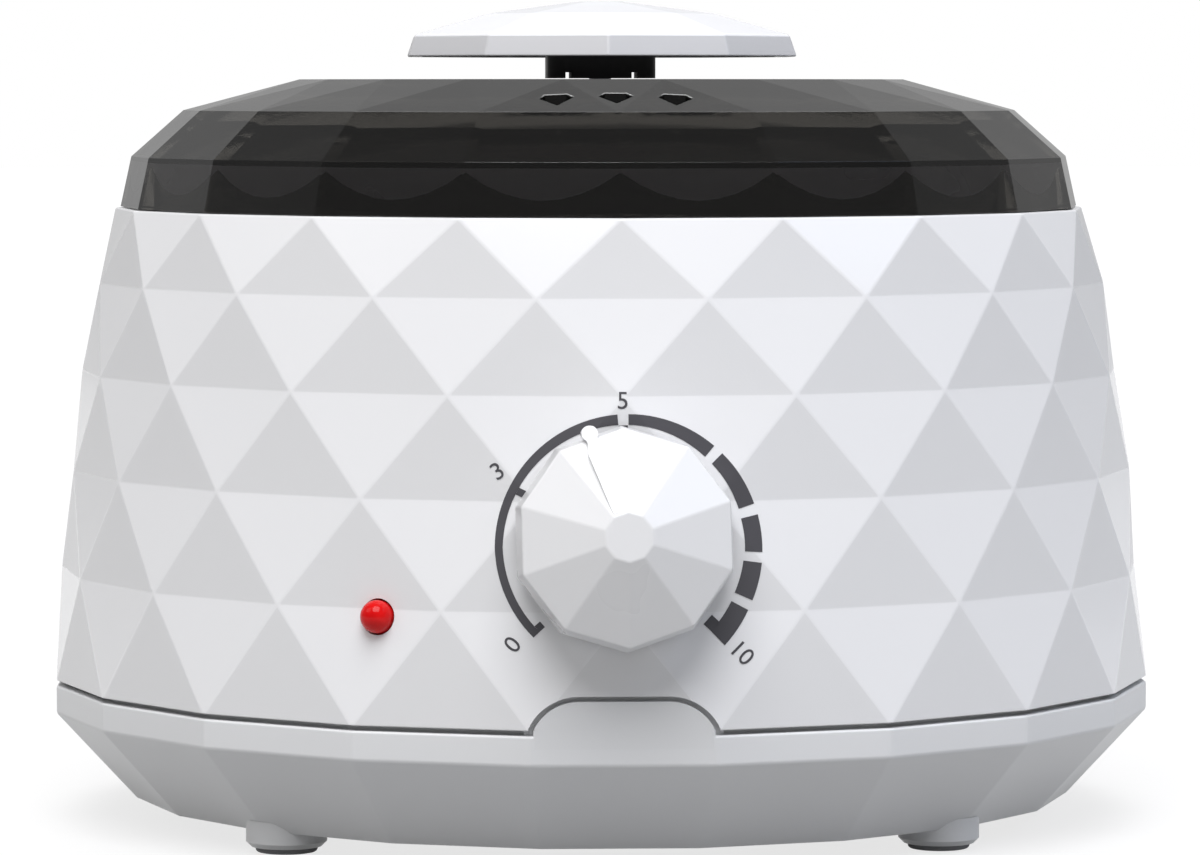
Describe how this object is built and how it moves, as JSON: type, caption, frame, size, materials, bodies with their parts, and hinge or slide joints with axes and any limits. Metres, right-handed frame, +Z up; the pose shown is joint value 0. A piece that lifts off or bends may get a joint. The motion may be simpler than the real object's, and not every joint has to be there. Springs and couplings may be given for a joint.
{
  "type": "wax heater",
  "caption": "Electric wax heater with a faceted two-part housing, turning heat knob, red lamp, heated bowl, lift-out pot with a bail, and a smoked faceted lid.",
  "frame": {"origin": "on the table, under the middle of the whole object's box", "axes": "+Z up, -Y the front with the knob, +Y the rear with the cord gland, +X the right side as seen from the front"},
  "size_m": [0.1976, 0.225, 0.148],
  "materials": {
    "white_gloss": "glossy, moulded flat facets",
    "white_shade": "glossy, slightly greyer than the upper housing",
    "smoke": "see-through, smoked, polished",
    "black_plastic": "moulded, satin",
    "red_lens": "coloured, polished",
    "aluminium": "drawn, lightly brushed",
    "steel": "plated",
    "brass": "plain turned",
    "rubber": "soft, matt",
    "mica": "heater band in its woven cover",
    "ceramic": "fired, matt",
    "brown_lead": "silicone sleeve",
    "blue_lead": "silicone sleeve",
    "red_lead": "glass-fibre sleeve"
  },
  "bodies": {
    "housing": {"thermostat_body": "ceramic", "thermostat_nut": "brass", "indicator_lens": "red_lens", "lamp_holder": "black_plastic", "cord_gland": "black_plastic", "gland_nut": "black_plastic", "upper_housing": "white_gloss", "lower_housing": "white_shade", "foot_pad_front_left": "rubber", "base_screw_front_left": "steel", "foot_pad_front_right": "rubber", "base_screw_front_right": "steel", "foot_pad_rear_right": "rubber", "base_screw_rear_right": "steel", "foot_pad_rear_left": "rubber", "base_screw_rear_left": "steel", "heating_bowl": "aluminium", "bowl_ring": "black_plastic", "ring_screw_front": "steel", "ring_screw_right": "steel", "ring_screw_rear": "steel", "ring_screw_left": "steel", "heater_band": "mica", "band_screw": "steel", "band_nut": "steel", "thermal_fuse": "steel", "fuse_clip": "aluminium", "terminal_block": "ceramic", "lead_live": "brown_lead", "lead_switched": "red_lead", "lead_fused": "red_lead", "lead_neutral": "blue_lead", "lead_lamp": "blue_lead"},
    "knob": {"knob": "white_gloss", "thermostat_shaft": "steel"},
    "lid": {"lid_shell": "smoke", "handle_neck": "black_plastic", "handle_cap": "white_gloss", "handle_washer": "steel", "handle_screw": "steel"},
    "pot": {"inner_pot": "aluminium", "pot_ear_right": "steel", "pot_ear_left": "steel", "ear_rivet_right": "aluminium", "ear_rivet_left": "aluminium"},
    "bail": {"pot_bail": "steel", "bail_grip": "black_plastic"}
  },
  "joints": [
    {"name": "knob_turn", "type": "hinge", "parent": "housing", "child": "knob", "pos_m": [0, -0.09223, 0.0573], "axis": [0, 0.9952, -0.0976], "range_deg": [-111.6, 156.4]},
    {"name": "lid_lift", "type": "slide", "parent": "housing", "child": "lid", "axis": [0, 0, 1], "range_m": [0, 0.26]},
    {"name": "pot_lift", "type": "slide", "parent": "housing", "child": "pot", "axis": [0, 0, 1], "range_m": [0, 0.105]},
    {"name": "bail_swing", "type": "hinge", "parent": "pot", "child": "bail", "pos_m": [0, 0.00429, 0.1146], "axis": [1, 0, 0], "range_deg": [0, 90]}
  ],
  "couplings": [
    {"joint": "pot_lift", "follows": "lid_lift", "ratio": 0.4},
    {"joint": "bail_swing", "follows": "lid_lift", "rad_per_m": 6.04}
  ]
}
